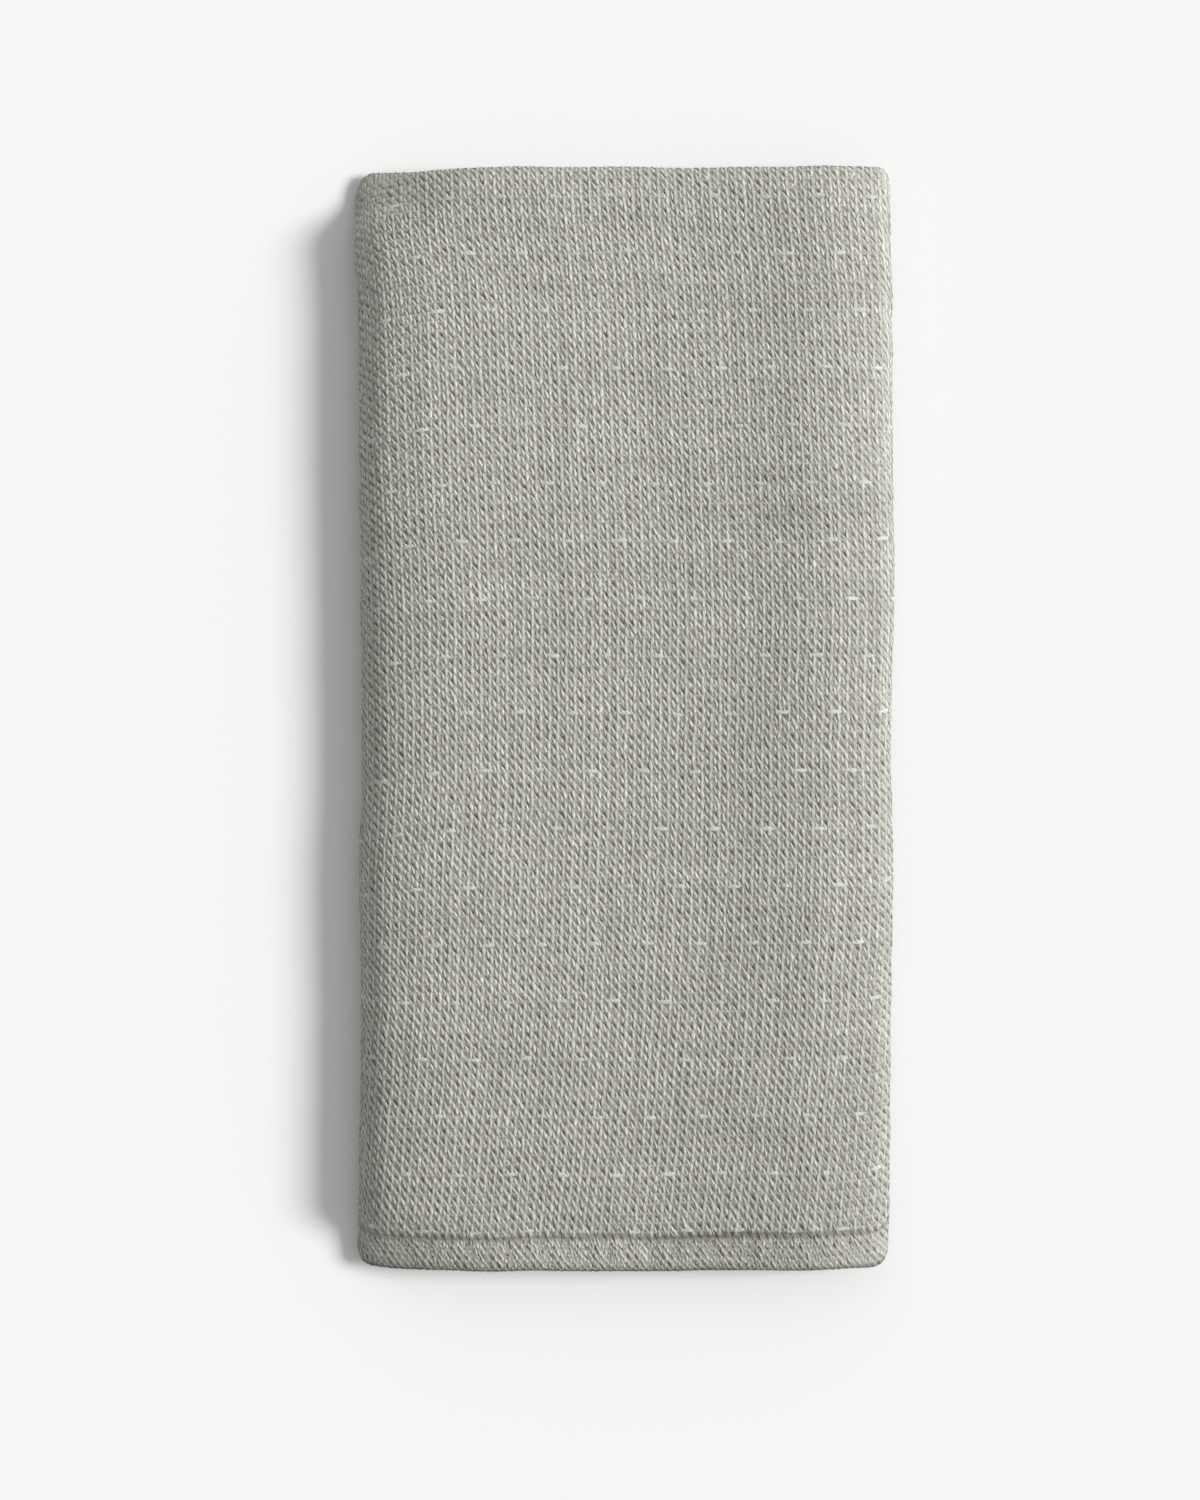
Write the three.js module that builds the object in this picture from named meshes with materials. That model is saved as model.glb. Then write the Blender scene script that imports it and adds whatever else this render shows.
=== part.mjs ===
// A hand towel of thick woven cloth, folded in half across its length and then in thirds across its
// width. It lies flat, with the closed crosswise fold at +Y and the stitched hems at -Y, and both of
// its long sides are folds. Millimetres, +Z up, with the origin at the middle of the underside.
//
// The towel is one sheet. Folded in half it is a hairpin of two layers, drawn in the plane of n and y,
// where n is the way out of the pair. That hairpin is carried along a letter fold in the plane of x
// and z, so the finished stack has six layers. The stack is then settled: pressed thinner towards its
// edges and along the hem stitching, and drawn to its uneven outline.

import * as THREE from "three";

// Sizes of the folded towel
const FOLDED_WIDTH = 167;
const FOLDED_LENGTH = 347;
const CLOTH = 3; // thickness of one layer
const GAP = 0.4; // air between two layers
const PAIR = 2 * CLOTH + GAP; // two layers, as the towel is after its first fold
const LEVEL = PAIR + GAP; // from one pair to the next in the stack
const STACK = 3 * PAIR + 2 * GAP;

// The letter fold
const LEFT_FOLD_RADIUS = LEVEL; // middle of the pair, from the top panel down to the lowest one
const RIGHT_FOLD_RADIUS = LEVEL / 2; // from the top panel to the one under it
const TUCKED_SELVEDGE = 1; // how far inside the left fold the middle panel ends
const LOWEST_SELVEDGE = 8; // how far inside the right side the lowest panel ends

// The hem at the end of each layer
const HEM_DEPTH = 10.4; // from the end to the stitching
const STITCH_SINK = 0.4; // how deep the stitching pulls into each face
const STITCH_SPREAD = 1.4; // how wide that hollow is
const END_FLAT = 0.45; // share of the thickness that is left at the rounded end
const INNER_SET_BACK = 1.2; // how far the inner layer of a pair ends inside the outer one
const LOWER_SET_BACK = 2; // how far the lowest hem ends inside the top one

// How the stack is pressed: each side loses this share of its height, over this reach
const PRESSED = {
  left: { share: 0.26, reach: 27 },
  right: { share: 0.36, reach: 33 },
  fold: { share: 0.24, reach: 20 },
  hem: { share: 0.14, reach: 10 },
};
const STITCH_PRESS = { share: 0.055, spread: 3.2 };

// Low swells and hollows of the top, from the middle of the towel
const SWELLS = [
  { x: -28, y: 118, wide: 46, long: 58, share: 0.02 },
  { x: 34, y: 92, wide: 30, long: 70, share: -0.018 },
  { x: 40, y: -8, wide: 44, long: 60, share: 0.022 },
  { x: -38, y: -22, wide: 36, long: 64, share: -0.016 },
  { x: -22, y: -112, wide: 50, long: 44, share: 0.02 },
  { x: 46, y: -122, wide: 34, long: 40, share: -0.012 },
];

// The long sides as they lie, at each height up the towel
const SIDES = [
  { y: -173.5, left: -83.9, right: 82.2 },
  { y: -146, left: -83.5, right: 82.3 },
  { y: -101, left: -82.7, right: 82.8 },
  { y: -51, left: -83.5, right: 83.4 },
  { y: -13, left: -82.4, right: 82.7 },
  { y: 43, left: -82.9, right: 83.9 },
  { y: 81, left: -83.4, right: 83.3 },
  { y: 124, left: -83.4, right: 83.2 },
  { y: 161, left: -84.8, right: 82.1 },
  { y: 173.5, left: -84.9, right: 81.9 },
];

// The short ends as they lie, at each place across the towel
const ENDS = [
  { x: -83.5, hem: -172.6, fold: 172.4 },
  { x: -52, hem: -173.4, fold: 172.5 },
  { x: 0, hem: -173.5, fold: 173.2 },
  { x: 22, hem: -173.4, fold: 172.7 },
  { x: 48, hem: -173.6, fold: 173.3 },
  { x: 83.5, hem: -173.3, fold: 173.9 },
];

// The rounded corners: how far each reaches along the end and up the side
const CORNERS = {
  hem: { left: { across: 6, along: 6 }, right: { across: 7, along: 6.5 } },
  fold: { left: { across: 5.5, along: 7.5 }, right: { across: 7.5, along: 10.5 } },
};

// Steps of the mesh
const PANEL_STEPS = { middle: 11, top: 13, lowest: 11 };
const FOLD_STEPS = { right: 6, left: 8, crosswise: 6 };
const BODY_STEPS = 11;
const HEM_STATIONS = [0, 0.5, 1.5, 5.5, HEM_DEPTH - 1.8, HEM_DEPTH, HEM_DEPTH + 1.8, 19];

const HALF_WIDTH = FOLDED_WIDTH / 2;
const HALF_LENGTH = FOLDED_LENGTH / 2;

// The fractions 0, 1/steps, 2/steps and so on, up to 1.
function fractions(steps) {
  return Array.from({ length: steps + 1 }, (_, i) => i / steps);
}

// A hump of height 1 and the given spread.
function hump(distance, spread) {
  return Math.exp(-((distance / spread) ** 2));
}

// 1 at an edge, easing to 0 at the given reach from it.
function nearEdge(distance, reach) {
  const away = THREE.MathUtils.clamp(distance / reach, 0, 1);
  return (1 - away) ** 2;
}

// The value of one column of a table at a place between its rows, eased from row to row.
function column(rows, key, name, place) {
  let k = 1;
  while (k < rows.length - 1 && rows[k][key] < place) k += 1;
  const [before, after] = [rows[k - 1], rows[k]];
  const share = THREE.MathUtils.smoothstep(place, before[key], after[key]);
  return THREE.MathUtils.lerp(before[name], after[name], share);
}

// Half the cloth's thickness at a distance from its hem end: round at the end, thinner at the stitching.
function halfThickness(fromEnd) {
  const round = THREE.MathUtils.clamp(1 - fromEnd / (CLOTH / 2), 0, 1);
  const share = Math.max(END_FLAT, Math.sqrt(1 - round ** 2));
  return (share * CLOTH) / 2 - STITCH_SINK * hump(fromEnd - HEM_DEPTH, STITCH_SPREAD);
}

// The hairpin's stations from the outer hem, round the crosswise fold, to the inner hem. Each has its
// middle, the direction out of the cloth, and half the thickness there.
function hairpinStations() {
  const radius = (CLOTH + GAP) / 2;
  const foldY = HALF_LENGTH - PAIR / 2;
  const bodyStart = HEM_STATIONS[HEM_STATIONS.length - 1];
  const layer = (side, endY) => {
    const bodyLength = foldY - endY - bodyStart;
    const body = fractions(BODY_STEPS).slice(1).map((share) => bodyStart + bodyLength * share);
    return [...HEM_STATIONS, ...body].map((fromEnd) => ({
      n: side * radius,
      y: endY + fromEnd,
      outN: side,
      outY: 0,
      half: halfThickness(fromEnd),
    }));
  };
  const fold = fractions(FOLD_STEPS.crosswise).slice(1, -1).map((share) => {
    const [outN, outY] = [Math.cos(Math.PI * share), Math.sin(Math.PI * share)];
    return { n: radius * outN, y: foldY + radius * outY, outN, outY, half: CLOTH / 2 };
  });
  const outer = layer(1, -HALF_LENGTH);
  const inner = layer(-1, -HALF_LENGTH + INNER_SET_BACK);
  return [...outer, ...fold, ...inner.reverse()];
}

// The hairpin's closed outline: its outer face one way and its inner face back.
function hairpinOutline() {
  const stations = hairpinStations();
  const face = (sign) =>
    stations.map(({ n, y, outN, outY, half }) => ({ n: n + sign * half * outN, y: y + sign * half * outY }));
  return [...face(1), ...face(-1).reverse()];
}

// Places from one x to another, closer together towards both ends.
function panel(from, to, steps) {
  return fractions(steps).map((share) => from + ((to - from) * (1 - Math.cos(Math.PI * share))) / 2);
}

// The letter fold's stations, from the selvedge of the middle panel round the right fold, over the top
// panel, round the left fold and along the lowest panel. Each has its place and the way out of the pair.
function letterFoldStations() {
  const lowest = PAIR / 2;
  const middle = lowest + LEVEL;
  const top = middle + LEVEL;
  const leftX = -HALF_WIDTH + LEFT_FOLD_RADIUS + PAIR / 2;
  const rightX = HALF_WIDTH - RIGHT_FOLD_RADIUS - PAIR / 2;
  const straight = (places, z, out) => places.map((x) => ({ x, z, outX: 0, outZ: out }));
  const turn = (x, z, radius, from, steps) =>
    fractions(steps).slice(1, -1).map((share) => {
      const [outX, outZ] = [Math.cos(from + Math.PI * share), Math.sin(from + Math.PI * share)];
      return { x: x + radius * outX, z: z + radius * outZ, outX, outZ };
    });
  return [
    ...straight(panel(leftX + TUCKED_SELVEDGE, rightX, PANEL_STEPS.middle), middle, -1),
    ...turn(rightX, middle + RIGHT_FOLD_RADIUS, RIGHT_FOLD_RADIUS, -Math.PI / 2, FOLD_STEPS.right),
    ...straight(panel(rightX, leftX, PANEL_STEPS.top), top, 1),
    ...turn(leftX, lowest + LEFT_FOLD_RADIUS, LEFT_FOLD_RADIUS, Math.PI / 2, FOLD_STEPS.left),
    ...straight(panel(leftX, HALF_WIDTH - LOWEST_SELVEDGE, PANEL_STEPS.lowest), lowest, -1),
  ];
}

// The share of its height that the stack keeps at a place. It is 1 where nothing presses it.
function pressed(x, y) {
  const fromHem = y + HALF_LENGTH;
  const distances = {
    left: x + HALF_WIDTH,
    right: HALF_WIDTH - x,
    fold: HALF_LENGTH - y,
    hem: fromHem,
  };
  let kept = 1 - STITCH_PRESS.share * hump(fromHem - HEM_DEPTH, STITCH_PRESS.spread);
  for (const [side, { share, reach }] of Object.entries(PRESSED)) {
    kept *= 1 - share * nearEdge(distances[side], reach);
  }
  for (const swell of SWELLS) {
    kept *= 1 + swell.share * hump(x - swell.x, swell.wide) * hump(y - swell.y, swell.long);
  }
  return kept;
}

// How far a rounded corner draws the end in, at a distance from the side.
function cornerDraw(end, x) {
  const { across, along } = CORNERS[end][x < 0 ? "left" : "right"];
  const into = THREE.MathUtils.clamp(1 - (HALF_WIDTH - Math.abs(x)) / across, 0, 1);
  return along * (1 - Math.sqrt(1 - into ** 2));
}

// Settles one point of the evenly folded stack: pressed, and drawn to the outline.
function settle(point) {
  const { x, y, z } = point;
  const shareX = (x + HALF_WIDTH) / FOLDED_WIDTH;
  const shareY = (y + HALF_LENGTH) / FOLDED_LENGTH;
  const hemY = column(ENDS, "x", "hem", x) + cornerDraw("hem", x) + LOWER_SET_BACK * (1 - z / STACK);
  const foldY = column(ENDS, "x", "fold", x) - cornerDraw("fold", x);
  return new THREE.Vector3(
    THREE.MathUtils.lerp(column(SIDES, "y", "left", y), column(SIDES, "y", "right", y), shareX),
    THREE.MathUtils.lerp(hemY, foldY, shareY),
    z * pressed(x, y),
  );
}

// The whole towel: the hairpin carried along the letter fold, closed by its two selvedges.
function towelGeometry() {
  const outline = hairpinOutline();
  const path = letterFoldStations();
  const around = outline.length;
  const positions = [];
  for (const station of path) {
    for (const { n, y } of outline) {
      const even = new THREE.Vector3(station.x + n * station.outX, y, station.z + n * station.outZ);
      positions.push(...settle(even).toArray());
    }
  }
  const index = [];
  for (let j = 0; j + 1 < path.length; j += 1) {
    for (let i = 0; i < around; i += 1) {
      const next = (i + 1) % around;
      const [a, b] = [j * around + i, j * around + next];
      index.push(a, b, b + around, a, b + around, a + around);
    }
  }
  const last = (path.length - 1) * around;
  for (let i = 0; i + 1 < around / 2; i += 1) {
    const [a, b, c, d] = [i, i + 1, around - 2 - i, around - 1 - i];
    index.push(a, c, b, a, d, c);
    index.push(last + a, last + b, last + c, last + a, last + c, last + d);
  }
  const geometry = new THREE.BufferGeometry();
  geometry.setAttribute("position", new THREE.Float32BufferAttribute(positions, 3));
  geometry.setIndex(index);
  geometry.computeBoundingBox();
  const middle = geometry.boundingBox.getCenter(new THREE.Vector3());
  geometry.translate(-middle.x, -middle.y, 0);
  geometry.computeVertexNormals();
  return geometry;
}

const cloth = new THREE.MeshStandardMaterial({ color: 0xb5b5ab, roughness: 0.95, metalness: 0 });

const towel = new THREE.Mesh(towelGeometry(), cloth);
towel.name = "towel";

const foldedTowel = new THREE.Group();
foldedTowel.add(towel);

export default foldedTowel;
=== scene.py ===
"""A hand towel of thick woven cloth, folded in half and then in thirds, dressed for rendering.

Folded in half, the sheet is a hairpin of two layers, and the hairpin is carried along a letter fold,
so the stack has six. Every piece is laid on that surface. A place on it is a distance across, along the
letter fold, and a distance around, round the hairpin's outline, both in millimetres on the face of the
cloth, with a height above that face. Only the finished meshes are in metres.
"""

import logging
import math
from dataclasses import dataclass, field
from enum import Enum

import bpy
import numpy as np
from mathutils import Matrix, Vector


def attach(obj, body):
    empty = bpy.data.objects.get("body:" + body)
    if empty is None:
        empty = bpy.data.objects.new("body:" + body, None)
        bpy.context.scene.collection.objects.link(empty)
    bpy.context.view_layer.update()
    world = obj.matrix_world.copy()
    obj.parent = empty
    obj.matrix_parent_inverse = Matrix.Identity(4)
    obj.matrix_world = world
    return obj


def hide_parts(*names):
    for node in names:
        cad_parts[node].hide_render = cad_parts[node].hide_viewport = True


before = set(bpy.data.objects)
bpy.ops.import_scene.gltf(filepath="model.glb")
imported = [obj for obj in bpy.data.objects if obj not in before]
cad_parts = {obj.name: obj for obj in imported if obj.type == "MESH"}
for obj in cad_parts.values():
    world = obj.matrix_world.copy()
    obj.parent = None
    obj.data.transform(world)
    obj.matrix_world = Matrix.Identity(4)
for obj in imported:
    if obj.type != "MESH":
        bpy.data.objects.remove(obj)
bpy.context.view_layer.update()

log = logging.getLogger("towel")

Array = np.ndarray
Colour = tuple[float, float, float]
Reach = tuple[float, float]
Triple = tuple[Array | float, Array | float, Array | float]
Piece = bpy.types.Object
Socket = bpy.types.NodeSocket

METRES = 0.001  # one millimetre in metres
BODY = "root"
NODE = "towel"
GRAIN_SIZE = (0.55, 1.7)  # of single strands of yarn, across and along
GRAIN_LEAN = 0.3  # in radians
GRAIN_CONTRAST = 1.0
OFF_FLOOR = 0.02  # lowest height of the yarn
BAKE_HALF = 0.42  # half length of a spindle in its cell of the bake map
BAKE_ROWS = ((0.47, 0.4), (0.95, 0.03))  # middle and half width there, of what is seen and what is under


def table(columns: str, *rows: tuple[float, ...]) -> dict[str, Array]:
    """Makes a table, with an array of the rows' numbers for each of the columns named."""
    return dict(zip(columns.split(), np.array(rows, float).T))


# The long sides as they lie, at each height up the towel
SIDES = table(
    "y left right",
    (-173.5, -83.9, 82.2),
    (-146, -83.5, 82.3),
    (-101, -82.7, 82.8),
    (-51, -83.5, 83.4),
    (-13, -82.4, 82.7),
    (43, -82.9, 83.9),
    (81, -83.4, 83.3),
    (124, -83.4, 83.2),
    (161, -84.8, 82.5),
    (173.5, -84.9, 82.8),
)

# The short ends as they lie, at each place across the towel
ENDS = table(
    "x hem fold",
    (-83.5, -173.2, 172.4),
    (-70, -174.0, 172.4),
    (-52, -173.8, 172.6),
    (-26, -173.6, 173.1),
    (0, -173.6, 173.2),
    (22, -173.4, 172.7),
    (48, -173.6, 173.3),
    (83.5, -173.3, 173.9),
)

# Low swells and hollows of the top: middle, size, and share of the height
SWELLS = (
    (-28, 118, 46, 58, 0.02),
    (34, 92, 30, 70, -0.018),
    (40, -8, 44, 60, 0.022),
    (-38, -22, 36, 64, -0.016),
    (-22, -112, 50, 44, 0.02),
    (46, -122, 34, 40, -0.012),
)

# How much lower the stack lies at its corners: place, reach across and along, share of the height
LOW_CORNERS = (
    (-84, 174, 26, 15, 0.62),
    (-84, -174, 26, 14, 0.5),
    (84, 174, 18, 8, 0.12),
    (84, -174, 18, 7, 0.12),
)

# How far the hem's stitching lies from the end, and how tight it is, which sets the groove's depth and its
# painted shade, at each place across the towel
STITCH_LINE = table(
    "x depth tight",
    (-80, 10.6, 0.35),
    (-74, 10.6, 0.45),
    (-60, 10.5, 0.55),
    (-38, 10.5, 0.65),
    (-18, 11.0, 0.6),
    (-4, 11.4, 0.65),
    (8, 10.8, 0.85),
    (24, 10.9, 1.0),
    (40, 11.6, 1.0),
    (52, 11.5, 0.85),
    (68, 11.7, 0.55),
    (77, 11.8, 0.45),
    (82, 11.8, 0.3),
)

# Painted light and shade: broad paler and darker places of the cloth, paler towards the closed fold and
# darker towards the hem and along the right side: middle, size, and share of the tone
PAINTED_LIGHT_AND_SHADE = (
    (0, 175, 160, 90, 0.05),
    (0, -175, 160, 80, -0.07),
    (-14, 20, 30, 200, 0.035),
    (48, 20, 22, 200, -0.05),
    (88, -90, 15, 160, -0.14),
    (88, 110, 15, 120, -0.03),
)


def hump(distance: Array, spread: float) -> Array:
    """A hump of height 1: the exponential of minus the square of distance over spread."""
    return np.exp(-((distance / spread) ** 2))


def near_edge(distance: Array, reach: float) -> Array:
    """1 at an edge, easing to 0 at the given reach: the square of 1 minus distance over reach."""
    return (1 - np.clip(distance / reach, 0, 1)) ** 2


def ease(start: Array | float, end: Array | float, place: Array) -> Array:
    """0 before start and 1 after end, with 3 t squared minus 2 t cubed between them."""
    share = np.clip((place - start) / (end - start), 0, 1)
    return share * share * (3 - 2 * share)


def column(rows: dict[str, Array], key: str, name: str, place: Array) -> Array:
    """Reads a table at any place, eased from row to row.

    Args:
        rows: The table.
        key: The column that holds the places.
        name: The column to read.
        place: The places to read it at.

    Returns:
        low + (high - low) * ease, between the rows on either side.
    """
    after = np.clip(np.searchsorted(rows[key], place), 1, len(rows[key]) - 1)
    low, high = rows[name][after - 1], rows[name][after]
    return low + (high - low) * ease(rows[key][after - 1], rows[key][after], place)


@dataclass(frozen=True)
class Drift:
    """A smooth random field, the same in each run, for what varies slowly in hand-folded cloth."""

    seed: int
    size: float = 1.0
    reach: Reach = (1.0, 1.0)  # of one cell, each way
    cells: int = 127

    def at(self, u: Array, v: Array) -> Array:
        """Reads the field.

        Args:
            u: Place along the first way.
            v: Place along the second way.

        Returns:
            Values from -size to size: the random numbers at the four corners of each cell, blended by
            ease both ways.
        """
        corners = np.random.default_rng(self.seed).uniform(-1, 1, (self.cells, self.cells))
        u, v = np.broadcast_arrays(u / self.reach[0], v / self.reach[1])
        i, j = np.floor(u).astype(int), np.floor(v).astype(int)
        a, b = ease(0, 1, u - i), ease(0, 1, v - j)
        n = self.cells
        low = corners[i % n, j % n] * (1 - a) + corners[(i + 1) % n, j % n] * a
        high = corners[i % n, (j + 1) % n] * (1 - a) + corners[(i + 1) % n, (j + 1) % n] * a
        return self.size * (low * (1 - b) + high * b)


@dataclass(frozen=True)
class FoldedShape:
    """The shape in which the towel lies, in millimetres: its folds, its pressed edges and its outline.

    The sizes are those of the towel's solid, which leaves out the stitching's groove and puckers.
    """

    width: float = 167.0
    length: float = 347.0
    cloth: float = 3.0
    gap: float = 0.4
    tucked_selvedge: float = 1.0
    lowest_selvedge: float = 8.0
    end_flat: float = 0.3  # share of the thickness at the very end of a hem
    inner_set_back: float = 1.2
    lower_set_back: float = 2.0
    pressed_left: Reach = (0.26, 27.0)  # share of the height lost, and its reach
    pressed_right: Reach = (0.36, 33.0)
    pressed_fold: Reach = (0.24, 20.0)
    pressed_hem: Reach = (0.14, 10.0)
    stitch_press: Reach = (0.055, 3.2)
    hem_depth: float = 10.4
    hem_zone: float = 20.0  # the stretch from a hem's end with close stations
    groove: float = 0.85  # depth of the stitching's groove where it is tightest
    groove_spread: float = 1.15
    groove_drift: Drift = Drift(8, 0.25, (6, 1))
    # Painted shade: the hem's tone is darkened in the stitching's groove and at its edge, which turns away
    # from the light
    seam_shade: float = 0.45  # share of the tone lost at the bottom of the groove
    lip_shade: float = 0.6  # share of the tone lost at the hem's edge
    lip_spread: float = 1.5
    pucker: float = 0.22  # height of the puckers beside the stitching
    pucker_pitch: float = 6.4
    pucker_slant: float = 0.55
    pucker_drift: Drift = Drift(9, 2.4, (13, 9))
    pucker_place: Reach = (-1.5, 6.5)  # middle from the stitching, and spread
    centring: Reach = (0.45, 0.0)  # from the folded outline's own place to the origin
    yarn_room: Reach = (-0.6, 0.5)  # drawn in at the sides and at the ends for the floats
    hem_corners: tuple[Reach, Reach] = ((4.5, 4.0), (6.0, 5.0))  # left and right, across and along
    fold_corners: tuple[Reach, Reach] = ((6.5, 7.5), (3.2, 3.6))
    left_drift: Drift = Drift(3, 0.22, (9, 3))
    right_drift: Drift = Drift(4, 0.22, (9, 3))
    fold_drift: Drift = Drift(6, 0.3, (16, 2))
    hem_drift: Drift = Drift(5, reach=(14, 1))
    hem_uneven: Reach = (0.25, 0.5)  # share of it at the top, and how much more lowest down
    fold_steps: tuple[int, int] = (160, 90)  # fineness of the letter fold's panels and turns
    hairpin_steps: tuple[int, int] = (330, 60)
    stations: dict[str, Array] = field(init=False, repr=False, compare=False)
    outline: dict[str, Array] = field(init=False, repr=False, compare=False)

    def __post_init__(self) -> None:
        """Works out both fold lines once, as fine tables that every piece reads."""
        object.__setattr__(self, "stations", self._letter_fold())
        object.__setattr__(self, "outline", self._hairpin())

    @property
    def pair(self) -> float:
        """Thickness of two layers, as the towel is after its first fold."""
        return 2 * self.cloth + self.gap

    @property
    def level(self) -> float:
        """Height from one pair of layers to the next."""
        return self.pair + self.gap

    @property
    def stack(self) -> float:
        """Height of the whole stack before it is pressed."""
        return 3 * self.pair + 2 * self.gap

    def _letter_fold(self) -> dict[str, Array]:
        """Follows the letter fold from the tucked selvedge to the lowest one.

        Returns:
            Columns s (distance on the outer face), x, z (middle of the pair) and out_x, out_z (the
            way out of it). Panels are straight and turns are centre plus radius times the way out.
        """
        half, reach = self.width / 2, self.pair / 2
        lowest, middle, top = reach, reach + self.level, reach + 2 * self.level
        left_radius, right_radius = self.level, self.level / 2
        left, right = -half + left_radius + reach, half - right_radius - reach

        def panel(start: float, end: float, z: float, out: float) -> Array:
            """A straight panel at one height."""
            x = np.linspace(start, end, self.fold_steps[0])
            return np.stack([x, 0 * x + z, 0 * x, 0 * x + out])

        arc = np.linspace(0, math.pi, self.fold_steps[1])[1:-1]

        def turn(x: float, z: float, radius: float, start: float) -> Array:
            """A half circle round (x, z)."""
            out = np.stack([np.cos(start + arc), np.sin(start + arc)])
            return np.vstack([np.array([[x], [z]]) + radius * out, out])

        first = panel(left + self.tucked_selvedge, right, middle, -1)
        right_turn = turn(right, middle + right_radius, right_radius, -math.pi / 2)
        left_turn = turn(left, lowest + left_radius, left_radius, math.pi / 2)
        last = panel(left, half - self.lowest_selvedge, lowest, -1)
        line = np.hstack([first, right_turn, panel(right, left, top, 1), left_turn, last])
        face = line[:2] + reach * line[2:]
        s = np.concatenate([[0], np.cumsum(np.hypot(*np.diff(face)))])
        return dict(zip(("s", "x", "z", "out_x", "out_z"), (s, *line)))

    def hem_stations(self, fine: bool) -> Array:
        """Distances from a hem's end that need stations, fine for the table that all pieces read."""
        round_end = self.cloth / 2 * (1 - np.cos(np.linspace(0, math.pi / 2, 12 if fine else 4)))
        return np.concatenate([round_end, np.arange(2, self.hem_zone, 0.25 if fine else 1.0)])

    def layers(self, end: Array, body: Array, inner_body: Array, turns: int) -> dict[str, Array]:
        """Follows the hairpin from the outer hem, round the crosswise fold, to the inner hem.

        Args:
            end: Distances from a hem's end that need stations.
            body: The outer layer's stations beyond those, as shares of its length.
            inner_body: The same for the inner layer.
            turns: Number of stations round the crosswise fold.

        Returns:
            Columns n, y (middle of the layer), out_n, out_y (the way out of it), half (half its
            thickness) and run (distance along the middle line).
        """
        radius, round_end = (self.cloth + self.gap) / 2, self.cloth / 2
        fold_y = self.length / 2 - self.pair / 2

        def layer(side: float, end_y: float, shares: Array) -> Array:
            """Follows a straight layer from its hem's end.

            Args:
                side: 1 for the outer layer, -1 for the inner one.
                end_y: Where it ends.
                shares: Its stations beyond the hem, as shares.

            Returns:
                The columns up to half, which at the end is the square root of 1 minus t squared.
            """
            reach = fold_y - end_y
            distance = np.concatenate([end, self.hem_zone + (reach - self.hem_zone) * shares])
            share = np.sqrt(1 - np.clip(1 - distance / round_end, 0, 1) ** 2)
            half = np.maximum(self.end_flat, share) * round_end
            return np.stack([0 * half + side * radius, end_y + distance, 0 * half + side, 0 * half, half])

        angle = np.linspace(0, math.pi, turns)[1:-1]
        out_n, out_y = np.cos(angle), np.sin(angle)
        fold = np.stack([radius * out_n, fold_y + radius * out_y, out_n, out_y, 0 * angle + round_end])
        outer = layer(1, -self.length / 2, body)
        inner = layer(-1, -self.length / 2 + self.inner_set_back, inner_body)
        line = np.hstack([outer, fold, inner[:, ::-1]])
        run = np.concatenate([[0], np.cumsum(np.hypot(*np.diff(line[:2])))])
        return dict(zip(("n", "y", "out_n", "out_y", "half", "run"), (*line, run)))

    def _hairpin(self) -> dict[str, Array]:
        """Follows the hairpin's closed outline, from the outer hem's upper edge on.

        Returns:
            Columns q (distance), n, y (place), half, run (the layer's) and away_n, away_y (the way
            out of the face, at a right angle to the line from the point before to the one after).
        """
        body, turns = self.hairpin_steps
        shares = np.linspace(0, 1, body)
        mid = self.layers(self.hem_stations(True), shares, shares, turns)

        def face(sign: float) -> Array:
            """The outer face (1) or the inner one (-1)."""
            place = [mid[name] + sign * mid["half"] * mid["out_" + name] for name in "ny"]
            return np.stack([*place, mid["half"], mid["run"]])

        loop = np.hstack([face(1), face(-1)[:, ::-1]])
        along = np.roll(loop[:2], -1, axis=1) - np.roll(loop[:2], 1, axis=1)
        away = np.stack([along[1], -along[0]]) / np.hypot(*along)
        loop = np.vstack([loop, away])
        loop = np.hstack([loop, loop[:, :1]])
        q = np.concatenate([[0], np.cumsum(np.hypot(*np.diff(loop[:2])))])
        return dict(zip(("q", "n", "y", "half", "run", "away_n", "away_y"), (q, *loop)))

    @property
    def across_total(self) -> float:
        """Length of the letter fold on its outer face."""
        return float(self.stations["s"][-1])

    @property
    def around_total(self) -> float:
        """Length of the hairpin's closed outline."""
        return float(self.outline["q"][-1])

    @property
    def turns(self) -> dict[str, float]:
        """Finds the parts of the letter fold on its outer face.

        Returns:
            Where the right turn, the top panel, the left turn and the lowest panel start.
        """
        half, reach = self.width / 2, self.pair / 2
        panel = 2 * half - 1.5 * self.level - 2 * reach
        starts = [panel - self.tucked_selvedge]
        starts.append(starts[-1] + math.pi * (self.level / 2 + reach))
        starts.append(starts[-1] + panel)
        starts.append(starts[-1] + math.pi * (self.level + reach))
        return dict(zip(("right", "top", "left", "lowest"), starts))

    def fold_at(self, across: Array, *names: str) -> list[Array]:
        """Reads columns of the letter fold at distances along it."""
        return [np.interp(across, self.stations["s"], self.stations[name]) for name in names]

    def loop_at(self, around: Array, *names: str) -> list[Array]:
        """Reads columns of the hairpin's outline at distances round it."""
        q = np.mod(around, self.around_total)
        return [np.interp(q, self.outline["q"], self.outline[name]) for name in names]

    def around_at(self, run: Array, outer: bool) -> Array:
        """Finds places on the outline from places along the layer.

        Args:
            run: Distances along the middle of the layer, from the outer hem on.
            outer: True for the outer face, False for the inner one.

        Returns:
            The distances around.
        """
        count = len(self.outline["q"]) // 2
        q, along = self.outline["q"][:-1], self.outline["run"][:-1]
        if outer:
            return np.interp(run, along[:count], q[:count])
        return np.interp(run, along[count:][::-1], q[count:][::-1])

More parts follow.
